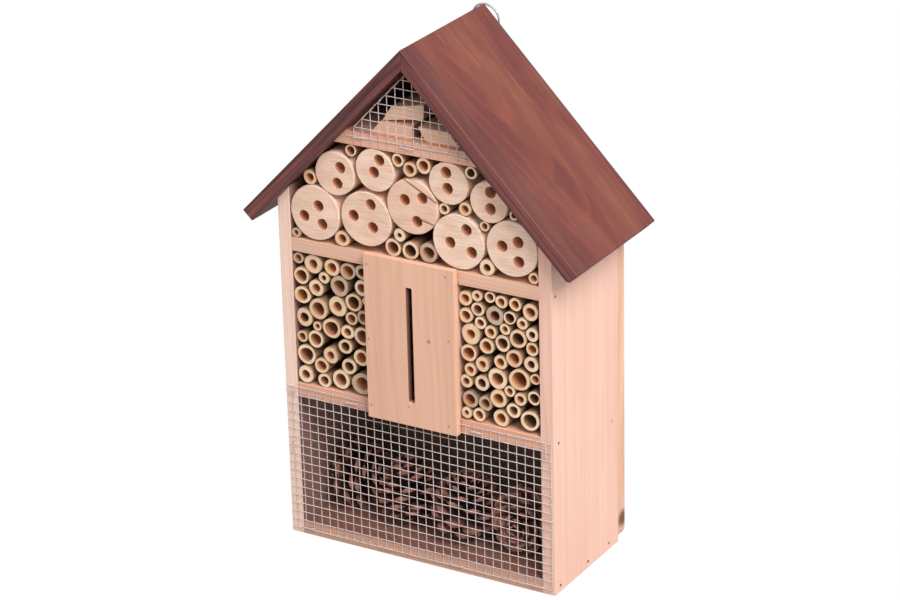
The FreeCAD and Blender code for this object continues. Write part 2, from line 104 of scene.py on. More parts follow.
# ---- node graphs ----
class Signal:
    """A node's output that can be used in arithmetic."""

    def __init__(self, graph, socket):
        self.graph = graph
        self.socket = socket

    def __add__(self, other):
        return self.graph.math("ADD", self, other)

    def __sub__(self, other):
        return self.graph.math("SUBTRACT", self, other)

    def __rsub__(self, other):
        return self.graph.math("SUBTRACT", other, self)

    def __mul__(self, other):
        return self.graph.math("MULTIPLY", self, other)

    def __truediv__(self, other):
        return self.graph.math("DIVIDE", self, other)

    def __rtruediv__(self, other):
        return self.graph.math("DIVIDE", other, self)

    __radd__ = __add__
    __rmul__ = __mul__


class Graph:
    """A node tree, with one method that makes any node."""

    def __init__(self, tree):
        self.tree = tree

    def feed(self, socket, value):
        if isinstance(value, Signal):
            self.tree.links.new(value.socket, socket)
        else:
            socket.default_value = value

    def node(self, kind, inputs=None, out=0, stops=None, **settings):
        made = self.tree.nodes.new(kind)
        for name, value in settings.items():
            setattr(made, name, value)
        if stops:
            bar = made.color_ramp.elements
            while len(bar) < len(stops):
                bar.new(0.5)
            for mark, (place, level) in zip(bar, stops):
                mark.position = place
                mark.color = (level, level, level, 1.0)
        for key, value in (inputs or {}).items():
            self.feed(made.inputs[key], value)
        return Signal(self, made.outputs[out])

    def math(self, operation, *values):
        return self.node("ShaderNodeMath", dict(enumerate(values)), operation=operation)

    def vector(self, operation, *values, out=0):
        return self.node("ShaderNodeVectorMath", dict(enumerate(values)), out, operation=operation)

    def join(self, x, y, z):
        return self.node("ShaderNodeCombineXYZ", {0: x, 1: y, 2: z})

    def split(self, vector):
        parts = self.node("ShaderNodeSeparateXYZ", {0: vector})
        return [Signal(self, socket) for socket in parts.socket.node.outputs]

    def noise(self, place, scale=1.0, detail=2.0, out=0):
        """Noise at a place, which is a vector or its three parts."""
        if isinstance(place, tuple):
            place = self.join(*place)
        return self.node("ShaderNodeTexNoise", {"Vector": place, "Scale": scale, "Detail": detail}, out)

    def ramp(self, value, stops):
        return self.node("ShaderNodeValToRGB", {0: value}, stops=stops)

    def mix(self, factor, first, second):
        return self.node("ShaderNodeMix", {0: factor, 6: first, 7: second}, 2, data_type="RGBA")

    def layers(self, colour, coats):
        """Lays coats, each an amount and a colour, one over another."""
        for amount, coat in coats:
            colour = self.mix(amount, colour, coat)
        return colour

    def own_number(self, value):
        """A fixed number between 0 and 1 that looks random, for each whole value."""
        return self.node("ShaderNodeTexWhiteNoise", {1: value}, noise_dimensions="1D")

    def named(self, name, kind="FLOAT"):
        """A named attribute inside a geometry tree."""
        return self.node("GeometryNodeInputNamedAttribute", {0: name}, data_type=kind)

    def random(self, least, most, seed):
        """A number of its own for each element inside a geometry tree."""
        return self.node("FunctionNodeRandomValue", {2: least, 3: most, "Seed": seed}, 1, data_type="FLOAT")


class Finish(Graph):
    """A material that ends in one Principled shader."""

    def __init__(self, name, **constants):
        self.material = bpy.data.materials.new(name)
        self.material.use_nodes = True
        super().__init__(self.material.node_tree)
        self.tree.nodes.clear()
        self.surface = self.node("ShaderNodeBsdfPrincipled")
        self.shader = self.surface.socket.node
        for socket, value in constants.items():
            self.shader.inputs[socket.replace("_", " ")].default_value = value
        self.end = self.tree.nodes.new("ShaderNodeOutputMaterial")
        self.feed(self.end.inputs[0], self.surface)

    def place(self):
        return self.node("ShaderNodeTexCoord", out=3)

    def facing(self):
        return self.node("ShaderNodeNewGeometry", out=1)

    def attribute(self, name, out=2):
        return self.node("ShaderNodeAttribute", out=out, attribute_name=name)

    def in_log(self, place, turn, pith, start):
        """Place as the tree grew: two parts across the grain, counted from the pith, and one along it."""
        inputs = {"Vector": place, "Location": (*pith, start), "Rotation": turn}
        return self.split(self.node("ShaderNodeMapping", inputs))

    def finish(self, colour, roughness, height, relief):
        """Sets the surface: relief is the depth of the height map in metres."""
        self.feed(self.shader.inputs["Base Color"], colour)
        self.feed(self.shader.inputs["Roughness"], roughness)
        bump = self.node("ShaderNodeBump", {"Height": height, "Distance": relief, "Strength": 1.0})
        self.feed(self.shader.inputs["Normal"], bump)
        return self.material


# ---- materials ----
ALONG_X = (0, -math.pi / 2, 0)
ALONG_Z = (0, 0, 0)


def growth_rings(graph, across_x, across_y, along, ring, wander):
    """Late wood of each yearly ring, from 0 to 1, for wood whose pith is the axis (0, 0)."""
    broad = graph.noise((across_x * 11, across_y * 11, along * 5), detail=1.0) - 0.5
    fine = graph.noise((across_x * 90, across_y * 90, along * 12)) - 0.5
    distance = graph.math("SQRT", across_x * across_x + across_y * across_y)
    years = (distance + broad * wander + fine * (0.5 * ring)) / ring
    strength = graph.own_number(graph.math("FLOOR", years))
    late = [(0.0, 0.0), (0.42, 0.06), (0.88, 1.0), (0.95, 0.7), (1.0, 0.0)]
    return graph.ramp(graph.math("FRACT", years), late) * (strength * 0.6 + 0.4)


def sawn_wood(name, early, late, turn, pith, ring, wander=5 * MM, contrast=0.6, blotch=0.25, knots=(),
              inward=None, shade_tint=tint(122, 68, 60), shade_reach=None):
    """Planed softwood. Turn brings the grain upright and pith is where the tree's centre then lies.

    A knot is its middle, its size and how dark it is. A side that faces inward is painted darker as shade:
    everywhere, or only within the given reach of the middle.
    """
    wood = Finish(name)
    place = wood.place()
    x, y, along = wood.in_log(place, turn, pith, 0.37)
    lean = wood.noise((0.0, 0.0, along * 6), detail=0.0) - 0.5
    rings = growth_rings(wood, x + lean * wander, y, along, ring, wander)
    fibre = wood.noise((x * 1500, y * 1500, along * 45))
    streak = wood.noise((x * 210, y * 210, along * 5), detail=3.0)
    cloud = wood.noise((x * 26, y * 26, along * 9))
    deeper = tuple(0.80 * a + 0.10 * b for a, b in zip(late[:3], early[:3])) + (1.0,)
    coats = [
        (rings * contrast, late),
        (wood.ramp(streak, [(0.42, 0.0), (0.75, 0.38)]), deeper),
        (wood.ramp(cloud, [(0.4, 0.0), (0.75, 1.0)]) * blotch, deeper),
        (wood.ramp(fibre, [(0.3, 0.16), (0.55, 0.0)]), deeper),
    ]
    for centre, size, depth in knots:
        away = (wood.vector("DISTANCE", place, centre, out=1) + (cloud - 0.5) * (0.8 * size)) / size
        coats += [
            (wood.ramp(away, [(0.0, 1.0), (0.9, 0.5), (2.2, 0.0)]) * 0.55, deeper),
            (wood.ramp(away, [(0.0, 1.0), (0.55, 0.9), (1.0, 0.0)]) * depth, tint(92, 46, 34)),
        ]
    # painted shade: the sawn mask darkens the side that faces the inward direction towards its given tint
    if inward:
        sawn = wood.ramp(wood.vector("DOT_PRODUCT", wood.facing(), inward, out=1), [(0.5, 0.0), (0.9, 0.78)])
        if shade_reach:
            across = wood.math("ABSOLUTE", wood.split(place)[0]) / shade_reach
            sawn = sawn * wood.ramp(across, [(0.9, 1.0), (1.0, 0.0)])
        coats.append((sawn, shade_tint))
    height = rings * 0.35 + fibre * 0.5 + streak * 0.3
    return wood.finish(wood.layers(early, coats), fibre * 0.12 + (0.62 - rings * 0.08), height, 0.12 * MM)


def stained_wood(name, turn, pith, tilt, front, rear):
    """Red-brown stain over plain-sawn softwood, darker along its front and rear edges.

    The pith sinks by the tilt down the slope, so the rings make arches.
    """
    wood = Finish(name, Coat_Weight=0.06, Coat_Roughness=0.4)
    place = wood.place()
    x, y, along = wood.in_log(place, turn, pith, 0.21)
    sway = wood.noise((0.0, 0.0, along * 9), detail=1.0) - 0.5
    rings = growth_rings(wood, x - along * tilt, y + sway * (10 * MM), along, 4.6 * MM, 6 * MM)
    fibre = wood.noise((x * 1300, y * 1300, along * 40))
    streak = wood.noise((x * 130, y * 130, along * 4), detail=4.0)
    cloud = wood.noise((x * 34, y * 34, along * 11), detail=4.0)
    scratch = wood.noise((x * 420, y * 420, along * 14 + streak), detail=1.0)
    depth = wood.split(place)[1]
    soaked = (depth - front) / (34 * MM) + (streak - 0.5) * 1.6
    rim = (rear - depth) / (5 * MM) + (cloud - 0.5) * 0.8
    # painted shade: the front and rear faces, found by their facing, get darker shade tones in patches
    edge = wood.math("ABSOLUTE", wood.split(wood.facing())[1])
    end_face_mottle = wood.noise((x * 520, y * 200, along * 12), detail=3.0)
    end_face_shade = wood.mix(wood.ramp(end_face_mottle, [(0.35, 0.0), (0.68, 1.0)]), tint(70, 34, 40), tint(138, 76, 70))
    colour = wood.layers(tint(102, 42, 37), [
        (wood.ramp(cloud, [(0.38, 0.0), (0.62, 1.0)]), tint(128, 70, 50)),
        (rings * rings * 0.55, tint(152, 66, 46)),
        (wood.ramp(streak, [(0.48, 0.0), (0.78, 0.5)]), tint(84, 38, 37)),
        (wood.ramp(fibre, [(0.28, 0.4), (0.5, 0.0)]), tint(70, 34, 31)),
        (wood.ramp(scratch, [(0.74, 0.0), (0.80, 0.4)]), tint(196, 132, 112)),
        (wood.ramp(soaked, [(0.15, 0.72), (0.75, 0.0)]), tint(76, 32, 34)),
        (wood.ramp(rim, [(0.2, 0.6), (0.8, 0.0)]), tint(84, 40, 46)),
        # painted shade on the front and rear faces
        (wood.ramp(edge, [(0.3, 0.0), (0.8, 0.85)]), end_face_shade),
    ])
    height = rings * 0.3 + fibre * 0.5 + streak * 0.5
    return wood.finish(colour, 0.5 + fibre * 0.14 - cloud * 0.08, height, 0.14 * MM)


def crack_line(wood, start, end, jitter):
    """A crack from start to end, as a share from 0 beside it to 1 on it."""
    way = end - start
    from_start = wood.vector("SUBTRACT", wood.place(), tuple(start))
    share = wood.vector("DOT_PRODUCT", from_start, tuple(way / way.length_squared), out=1)
    share = wood.node("ShaderNodeClamp", {0: share})
    nearest = wood.vector("MULTIPLY_ADD", share, tuple(way), tuple(start))
    gap = wood.vector("DISTANCE", wood.place(), nearest, out=1) + jitter
    return wood.ramp(gap / (0.9 * MM), [(0.3, 1.0), (1.0, 0.0)])


def sawn_log(name, cracks=()):
    """Peeled log: crosscut end with faint rings and saw marks, and holes browned by the drill and darkened as
    painted shade.

    A crack is two points.
    """
    wood = Finish(name)
    x, y, z = wood.split(wood.attribute("from_pith", out=1))
    bored = wood.attribute("bored")
    seed = wood.attribute("seed")
    angle = wood.math("ARCTAN2", z, x)
    distance = wood.math("SQRT", x * x + z * z)
    wavy = wood.noise((x * 90, z * 90, seed)) - 0.5
    years = (distance + wavy * (1.6 * MM)) / (2.1 * MM)
    rings = wood.ramp(wood.math("FRACT", years), [(0.0, 0.0), (0.5, 0.1), (0.9, 1.0), (1.0, 0.0)])
    saw = wood.noise((x * 60 + seed, z * 1400, y * 50), detail=1.0)
    mottle = wood.noise((x * 130, z * 130, y * 25 + seed), detail=4.0)
    ray = wood.noise((angle * 2.6 + wavy * 0.9, seed, distance * 12), scale=3.0, detail=1.0)
    check = wood.ramp(ray, [(0.19, 1.0), (0.215, 0.0)])
    check = check * wood.ramp(distance / (18 * MM), [(0.15, 0.0), (0.5, 1.0)])
    patch = wood.noise((x * 55, z * 110, seed * 2))
    colour = wood.layers(tint(255, 230, 210), [
        (mottle, tint(249, 212, 189)),
        (wood.ramp(wood.own_number(seed), [(0.3, 0.0), (1.0, 0.4)]), tint(234, 180, 146)),
        (wood.ramp(patch, [(0.38, 0.0), (0.68, 0.4)]), tint(208, 166, 142)),
        (wood.ramp(saw, [(0.48, 0.0), (0.72, 0.42)]), tint(196, 148, 124)),
        (rings * 0.22, tint(208, 158, 124)),
        (wood.ramp(distance / (9 * MM), [(0.0, 0.15), (1.0, 0.0)]), tint(206, 158, 124)),
        (check * 0.45, tint(156, 104, 78)),
    ])
    for start, end in cracks:
        split = crack_line(wood, start, end, (mottle - 0.5) * (0.5 * MM))
        colour = wood.mix(split * 0.8, colour, tint(120, 66, 54))
        check = check + split
    # the hole walls are darker and browner: partly the drill's burnish, partly painted shade
    colour = wood.mix(bored, colour, wood.mix(mottle, tint(216, 154, 118), tint(178, 116, 84)))
    height = rings * 0.2 + saw * 0.35 + mottle * 0.3 - check * 1.2
    return wood.finish(colour, 0.66 - rings * 0.06, height, 0.2 * MM)


def dry_cane(name):
    """Cut cane: a pale fibrous end, a smooth tan skin and a brown papery bore. A few are weathered grey."""
    cane = Finish(name, Coat_Weight=0.08, Coat_Roughness=0.3)
    wall, along, tone, rim = (cane.attribute(key) for key in ("wall", "along", "tone", "rim"))
    place = cane.place()
    x, y, z = cane.split(place)
    long_fibre = cane.noise((x * 900, y * 30, z * 900))
    speckle = cane.node("ShaderNodeTexVoronoi", {"Vector": place, "Scale": 1700.0})
    dots = cane.ramp(speckle, [(0.0, 1.0), (0.32, 0.0)])
    mottle = cane.noise((x * 160, y * 60, z * 160), detail=3.0)
    weathered = cane.ramp(tone, [(0.86, 0.0), (0.9, 1.0)])
    skin = cane.layers(cane.mix(mottle, tint(194, 156, 120), tint(148, 110, 84)), [
        (weathered, cane.mix(mottle, tint(160, 142, 124), tint(122, 104, 92))),
        (cane.ramp(long_fibre, [(0.35, 0.5), (0.6, 0.0)]), tint(106, 78, 54)),
        # painted shade: the skin darkens quickly back from the cut end, where the canes shade one another
        (cane.ramp(along, [(0.0, 0.0), (0.16, 0.85)]), tint(56, 38, 26)),
    ])
    cut = cane.layers(tint(252, 224, 194), [
        (cane.math("FRACT", tone * 5), tint(236, 198, 162)),
        (weathered, tint(200, 174, 150)),
        (dots * 0.45 * wall, tint(166, 122, 84)),
        (cane.ramp(mottle, [(0.45, 0.0), (0.75, 0.4)]), tint(190, 146, 108)),
        (cane.ramp(wall, [(0.75, 0.0), (1.0, 0.7)]), tint(184, 146, 98)),
        (cane.ramp(wall, [(0.0, 0.7), (0.22, 0.0)]), tint(176, 122, 82)),
    ])
    tunnel = cane.layers(tint(222, 150, 92), [
        (cane.math("FRACT", tone * 13), tint(176, 128, 104)),
        (cane.ramp(cane.math("FRACT", tone * 29), [(0.78, 0.0), (0.84, 1.0)]), tint(112, 80, 60)),
        (mottle * 0.5, tint(150, 98, 62)),
        # painted shade: the bore darkens deeper in
        (cane.ramp(along, [(0.05, 0.0), (0.5, 0.8)]), tint(108, 70, 46)),
    ])
    outside = cane.ramp(wall, [(0.5, 0.0), (0.52, 1.0)])
    colour = cane.layers(tunnel, [(outside, skin), (rim, cut)])
    rough = 0.42 + rim * 0.25 + (1 - outside) * 0.2
    height = long_fibre * 0.5 + mottle * 0.3 + dots * rim * 0.4
    return cane.finish(colour, rough, height, 0.1 * MM)


def cone_scale(name):
    """Dry cone scale: dark at its root, with a paler woody tip."""
    scale = Finish(name)
    tip = scale.attribute("tip")
    place = scale.place()
    mottle = scale.noise(place, scale=420.0, detail=3.0)
    grain = scale.noise(place, scale=1500.0)
    colour = scale.layers(tint(90, 44, 42), [
        (mottle, tint(124, 66, 58)),
        (scale.ramp(tip, [(0.6, 0.0), (0.95, 1.0)]), tint(186, 128, 108)),
        (scale.ramp(tip, [(0.0, 1.0), (0.45, 0.0)]), tint(40, 22, 20)),
        (scale.attribute("shade") * 0.3, tint(150, 96, 78)),
    ])
    return scale.finish(colour, 0.6 + mottle * 0.2, mottle * 0.6 + grain * 0.4, 0.25 * MM)


def zinc(name, bright, dull, roughness, metallic):
    """Zinc-coated steel, dulled in patches."""
    metal = Finish(name, Metallic=metallic)
    place = metal.place()
    bloom = metal.noise(place, scale=700.0, detail=3.0)
    grain = metal.noise(place, scale=4200.0, detail=1.0)
    colour = metal.mix(metal.ramp(bloom, [(0.35, 0.0), (0.7, 1.0)]), bright, dull)
    return metal.finish(colour, bloom * 0.2 + roughness, grain * 0.5 + bloom * 0.5, 0.03 * MM)


# ---- mesh helpers ----
def new_object(name, data):
    made = bpy.data.objects.new(name, data)
    bpy.context.scene.collection.objects.link(made)
    return made


def mark_points(mesh, **columns):
    """Stores named numbers or vectors on a mesh's points."""
    for key, values in columns.items():
        vectors = hasattr(values[0], "__len__")
        layer = mesh.attributes.new(key, "FLOAT_VECTOR" if vectors else "FLOAT", "POINT")
        flat = np.array([tuple(value) for value in values] if vectors else values, np.float32).ravel()
        layer.data.foreach_set("vector" if vectors else "value", flat)
    return mesh


def mesh_from(name, points, faces=(), edges=(), **columns):
    mesh = bpy.data.meshes.new(name)
    mesh.from_pydata([tuple(point) for point in points], edges, faces)
    return mark_points(mesh, **columns)


def smooth(mesh, angle=35):
    mesh.polygons.foreach_set("use_smooth", [True] * len(mesh.polygons))
    mesh.set_sharp_from_angle(angle=math.radians(angle))
    return mesh


def merged(mesh, distance):
    """A mesh opened for editing, with its doubled points merged."""
    shape = bmesh.new()
    shape.from_mesh(mesh)
    bmesh.ops.remove_doubles(shape, verts=shape.verts, dist=distance)
    return shape


def settled(shape, mesh):
    """Writes an edited shape to its mesh, with every face pointing out."""
    bmesh.ops.recalc_face_normals(shape, faces=shape.faces)
    shape.to_mesh(mesh)
    shape.free()
    return mesh


def put(name, mesh, material, slot, *nodes, body=HOTEL):
    """Adds a finished piece that stands for CAD nodes."""
    made = new_object(name, mesh)
    if material:
        mesh.materials.clear()
        mesh.materials.append(material)
    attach(made, body)
    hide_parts(*nodes)
    return made


def cad_shape(node):
    return merged(frame["nodes"][node].data, 2e-6)


def solids_of(node):
    """The points of each separate solid in a CAD node, as arrays."""
    shape = cad_shape(node)
    unseen = set(shape.verts)
    groups = []
    while unseen:
        stack = [unseen.pop()]
        group = []
        while stack:
            vertex = stack.pop()
            group.append(vertex.co[:])
            others = {edge.other_vert(vertex) for edge in vertex.link_edges} & unseen
            unseen -= others
            stack += others
        groups.append(np.array(group))
    shape.free()
    groups.sort(key=lambda group: tuple(np.round(group.mean(0), 5)))
    return groups


def middle_and_size(points):
    low = points.min(0)
    high = points.max(0)
    return (low + high) / 2, high - low


def eased(node, ease, chips=()):
    """The CAD node's shape with its sawn edges softened.

    A chip is a point and a direction: what lies further that way is knocked off.
    """
    shape = cad_shape(node)
    for point, direction in chips:
        everything = shape.verts[:] + shape.edges[:] + shape.faces[:]
        bmesh.ops.bisect_plane(shape, geom=everything, plane_co=point, plane_no=direction, clear_outer=True)
        bmesh.ops.holes_fill(shape, edges=[edge for edge in shape.edges if edge.is_boundary])
    bmesh.ops.dissolve_limit(shape, angle_limit=math.radians(1.5), verts=shape.verts, edges=shape.edges)
    corner = math.radians(28)
    sharp = [edge for edge in shape.edges if edge.calc_face_angle(0) > corner]
    bmesh.ops.bevel(shape, geom=sharp, offset=ease, segments=2, profile=0.6, affect="EDGES",
                    clamp_overlap=True)
    bmesh.ops.recalc_face_normals(shape, faces=shape.faces)
    for face in shape.faces:
        face.smooth = False
    for edge in shape.edges:
        if 0.01 < edge.calc_face_angle(0) < corner:
            narrow = min(edge.link_faces, key=lambda face: face.calc_area())
            narrow.smooth = True
    return settled(shape, bpy.data.meshes.new(node + "_eased"))


def angles(count):
    return [math.tau * number / count for number in range(count)]


def wall_faces(rows, count, first=0):
    """Faces between neighbouring rows of points, each row a closed loop."""
    faces = []
    for row in range(rows - 1):
        here = first + row * count
        for side in range(count):
            after = (side + 1) % count
            faces.append((here + side, here + after, here + count + after, here + count + side))
    return faces


def fan(first, count, tip):
    """Faces from a closed loop of points to one tip."""
    return [(first + side, first + (side + 1) % count, tip) for side in range(count)]


# ---- geometry node trees ----
SOCKETS = {"float": "NodeSocketFloat", "int": "NodeSocketInt", "object": "NodeSocketObject",
           "material": "NodeSocketMaterial"}


def geometry_tree(name, **inputs):
    """A tree with a geometry input and named inputs; returns the graph and its input signals by name."""
    tree = bpy.data.node_groups.new(name, "GeometryNodeTree")
    tree.interface.new_socket("Geometry", in_out="INPUT", socket_type="NodeSocketGeometry")
    tree.interface.new_socket("Geometry", in_out="OUTPUT", socket_type="NodeSocketGeometry")
    for label, kind in {**inputs, "Material": "material"}.items():
        tree.interface.new_socket(label, in_out="INPUT", socket_type=SOCKETS[kind])
    graph = Graph(tree)
    start = tree.nodes.new("NodeGroupInput")
    return graph, {socket.name: Signal(graph, socket) for socket in start.outputs if socket.name}


def end_tree(graph, geometry, given):
    """Ends a tree in plain geometry that carries its material."""
    real = graph.node("GeometryNodeRealizeInstances", {0: geometry})
    painted = graph.node("GeometryNodeSetMaterial", {"Geometry": real, "Material": given["Material"]})
    end = graph.tree.nodes.new("NodeGroupOutput")
    graph.tree.links.new(painted.socket, end.inputs[0])
    return graph.tree


def grow(name, mesh, tree, **values):
    """Runs a tree on a mesh and returns the plain mesh that it makes."""
    seedbed = new_object(name + "_seedbed", mesh)
    modifier = seedbed.modifiers.new("grow", "NODES")
    modifier.node_group = tree
    for item in tree.interface.items_tree:
        if item.in_out == "INPUT" and item.name in values:
            modifier[item.identifier] = values[item.name]
    evaluated = seedbed.evaluated_get(bpy.context.evaluated_depsgraph_get())
    made = bpy.data.meshes.new_from_object(evaluated)
    made.name = name
    seedbed.modifiers.clear()
    bpy.data.objects.remove(seedbed)
    return made


def wire_tree():
    """Sweeps a round wire along every chain of edges, a little out of true as drawn wire lies."""
    graph, given = geometry_tree("drawn_wire", Radius="float", Step="float", Wander="float", Seed="float")
    curve = graph.node("GeometryNodeMeshToCurve", {0: given["Geometry"]})
    curve = graph.node("GeometryNodeResampleCurve", {"Curve": curve, "Length": given["Step"]}, mode="LENGTH")
    spot = graph.node("GeometryNodeInputPosition")
    shifted = graph.vector("ADD", spot, graph.join(given["Seed"], given["Seed"] * 1.7, given["Seed"] * 0.6))
    drift = graph.vector("SUBTRACT", graph.noise(shifted, scale=60.0, detail=1.5, out=1), (0.5, 0.5, 0.5))
    offset = graph.vector("MULTIPLY", drift, given["Wander"])
    curve = graph.node("GeometryNodeSetPosition", {"Geometry": curve, "Offset": offset})
    profile = graph.node("GeometryNodeCurvePrimitiveCircle", {"Resolution": 7, "Radius": given["Radius"]})
    inputs = {"Curve": curve, "Profile Curve": profile, "Fill Caps": True}
    swept = graph.node("GeometryNodeCurveToMesh", inputs)
    return end_tree(graph, graph.node("GeometryNodeSetShadeSmooth", {"Geometry": swept}), given)


def scatter_tree():
    """Sets a copy of one small shape on every point, facing the point's own direction."""
    graph, given = geometry_tree("set_on_points", Shape="object", Jitter="float", Seed="int")
    shape = graph.node("GeometryNodeObjectInfo", {"Object": given["Shape"]}, "Geometry")
    spin = graph.random(0.0, math.tau, given["Seed"])
    twist = graph.node("FunctionNodeAxisAngleToRotation", {"Axis": (0, 0, 1), "Angle": spin})
    facing = graph.named("facing", "FLOAT_VECTOR")
    aim = graph.node("FunctionNodeAlignRotationToVector", {"Vector": facing}, axis="Z")
    turn = graph.node("FunctionNodeRotateRotation", {0: aim, 1: twist}, rotation_space="LOCAL")
    size = graph.random(1.0 - given["Jitter"], 1.0 + given["Jitter"], given["Seed"])
    inputs = {"Points": given["Geometry"], "Instance": shape, "Rotation": turn, "Scale": size}
    return end_tree(graph, graph.node("GeometryNodeInstanceOnPoints", inputs), given)


def bell(graph, distance):
    """Falls from 1 at no distance to almost 0 at a distance of 2."""
    return graph.math("EXPONENT", 0 - distance * distance)


def cane_tree():
    """Shapes one blank tube into every cane. A blank's points carry wall, along, around, rim and open."""
    graph, given = geometry_tree("cane_bundle", Blank="object", Ovality="float", Swell="float")
    blank = graph.node("GeometryNodeObjectInfo", {"Object": given["Blank"]}, "Geometry")
    tubes = graph.node("GeometryNodeInstanceOnPoints", {"Points": given["Geometry"], "Instance": blank})
    tubes = graph.node("GeometryNodeRealizeInstances", {0: tubes})
    wall, along, around, opened = (graph.named(key) for key in ("wall", "along", "around", "open"))
    radius, bore, length, depth = (graph.named(key) for key in ("radius", "bore", "length", "depth"))
    phase, joint = graph.named("phase"), graph.named("joint")
    oval = graph.math("COSINE", around * 2 + phase) * given["Ovality"]
    ripple = graph.math("COSINE", around * 3 + phase * 5) * (given["Ovality"] * 0.45)
    lumps = graph.math("COSINE", around * 5 + phase * 3) * (given["Ovality"] * 0.3)
    from_joint = (along - joint) * length
    swelling = bell(graph, from_joint / (2.2 * MM)) * given["Swell"]
    groove = bell(graph, from_joint / (0.45 * MM)) * (given["Swell"] * 0.9)
    skin = radius * (oval + ripple + lumps + swelling - groove + 0.985)
    hollow = bore * (1.0 + ripple * 2.0 - oval)
    reach = (hollow + (skin - hollow) * wall) * opened
    slant = graph.math("SINE", phase * 7) * 0.05
    outward_x = graph.math("COSINE", around)
    outward_z = graph.math("SINE", around)
    back = along * (depth + (length - depth) * wall)
    rough_cut = graph.noise((outward_x * wall, outward_z * wall, phase * 9), scale=5.0) * (0.35 * MM)
    front = (reach * outward_x * slant + rough_cut) * (1 - along)
    offset = graph.join(reach * outward_x, back + front, reach * outward_z)
    shaped = graph.node("GeometryNodeSetPosition", {"Geometry": tubes, "Offset": offset})
    return end_tree(graph, shaped, given)


def cone_tree():
    """Sets scales round a cone in a spiral, each turned out from the stalk and smaller towards both ends."""
    graph, given = geometry_tree("pine_cone", Shape="object", Scales="int", Girth="float", Length="float",
                                 Seed="int")
    line = graph.node("GeometryNodeMeshLine", {"Count": given["Scales"]}, mode="OFFSET")
    order = graph.node("GeometryNodeInputIndex")
    share = order / (given["Scales"] - 1)
    golden_turn = math.pi * (3 - math.sqrt(5))
    angle = order * golden_turn
    fullness = graph.math("SINE", graph.math("POWER", share, 0.62) * math.pi) * 0.72 + 0.28
    height = (share - 0.5) * (given["Length"] * 0.72)
    core = given["Girth"] * fullness * 0.16
    spot = graph.join(graph.math("COSINE", angle) * core, graph.math("SINE", angle) * core, height)
    points = graph.node("GeometryNodeSetPosition", {"Geometry": line, "Position": spot})
    wobble = graph.random(-0.14, 0.14, given["Seed"])
    open_angle = 1.95 - share * 1.55 + wobble
    turn = graph.node("FunctionNodeEulerToRotation", {0: graph.join(wobble * 1.2, open_angle, angle)})
    shape = graph.node("GeometryNodeObjectInfo", {"Object": given["Shape"]}, "Geometry")
    inputs = {"Points": points, "Instance": shape, "Rotation": turn, "Scale": given["Girth"] * fullness}
    scales = graph.node("GeometryNodeInstanceOnPoints", inputs)
    store = {"Geometry": scales, "Name": "shade", "Value": graph.random(0.0, 1.0, given["Seed"])}
    scales = graph.node("GeometryNodeStoreNamedAttribute", store, data_type="FLOAT", domain="INSTANCE")
    return end_tree(graph, scales, given)


# ---- timber ----
PALE = (tint(240, 199, 180), tint(225, 168, 144))                   # early and late wood
PALEST = (tint(253, 222, 204), tint(240, 190, 168))
WARM = (tint(236, 192, 166), tint(210, 152, 124))
ORANGE = (tint(236, 182, 156), tint(208, 142, 116))
EARTHY = (tint(218, 172, 150), tint(190, 136, 112))
FRESH = (tint(252, 206, 176), tint(230, 170, 138))
PANEL = (tint(236, 188, 160), tint(216, 160, 132))


def timber():
    """The boards of the body. Each has its own place in the tree that it was sawn from."""
    wall_knot = ((INNER_X + BOARD, BODY_FRONT + 81 * MM, 94 * MM), 2.0 * MM, 0.25)
    back_knot = ((BACK_HIGH.x, BACK_HIGH.y - 4 * MM, 15 * MM), 9 * MM, 0.92)
    # painted shade: the side of each wall and of the back that faces into the body is darkened, the back's inside
    # nearly black
    walls = {                                           # tints, pith, ring, and what else sets a board apart
        "right_side_wall": (PALE, (-0.075, 0.21), 1.9, dict(contrast=0.5, knots=[wall_knot],
                                                            inward=(-1, 0, 0))),
        "left_side_wall": (PALEST, (0.19, 0.06), 2.1, dict(contrast=0.5, inward=(1, 0, 0))),
        "back_panel": (WARM, (0.03, -0.085), 3.0, dict(wander=9 * MM, knots=[back_knot], inward=(0, -1, 0),
                                                       shade_tint=tint(52, 32, 34))),
    }
    uprights = {
        "left_divider": (WARM, (0.06, 0.05), 2.2, {}),
        "right_divider": (WARM, (0.06, 0.05), 2.2, {}),
    }
    # painted shade: the bottom board's top and the lower shelf's underside, which face into the lower bay, are
    # darkened
    shelves = {
        "bottom_board": (EARTHY, (0.04, 0.03), 2.4, dict(inward=(0, 0, 1), shade_tint=tint(132, 80, 66))),
        "lower_shelf": (ORANGE, (-0.06, 0.05), 2.2, dict(inward=(0, 0, -1))),
        "upper_shelf": (WARM, (-0.17, 0.045), 2.6, {}),
        "gable_shelf": (ORANGE, (-0.31, 0.06), 2.0, {}),
    }
    for boards, turn, slot in ((walls, ALONG_Z, "wall_wood"), (shelves, ALONG_X, "shelf_wood"),
                               (uprights, ALONG_Z, "shelf_wood")):
        for node, (tints, pith, ring, traits) in boards.items():
            fir = sawn_wood(node + "_fir", *tints, turn, pith, ring * MM, **traits)
            put(node + "_board", eased(node, BOARD_EASE), fir, slot, node)


def front_panel():
    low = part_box("butterfly_panel")[0]
    knots = [
        ((14.3 * MM, low.y, low.z + 64 * MM), 1.5 * MM, 0.45),
        ((-2.7 * MM, low.y, low.z + 13.6 * MM), 0.9 * MM, 0.3),
    ]
    # painted shade: the slot's side that faces +X is darkened
    fir = sawn_wood("panel_fir", *PANEL, ALONG_Z, (0.004, 0.072), 4.6 * MM, wander=14 * MM, contrast=0.34,
                    blotch=0.35, knots=knots, inward=(1, 0, 0), shade_tint=tint(92, 46, 42),
                    shade_reach=SLOT_REACH)
    put("butterfly_front", eased("butterfly_panel", PANEL_EASE), fir, "front_panel", "butterfly_panel")


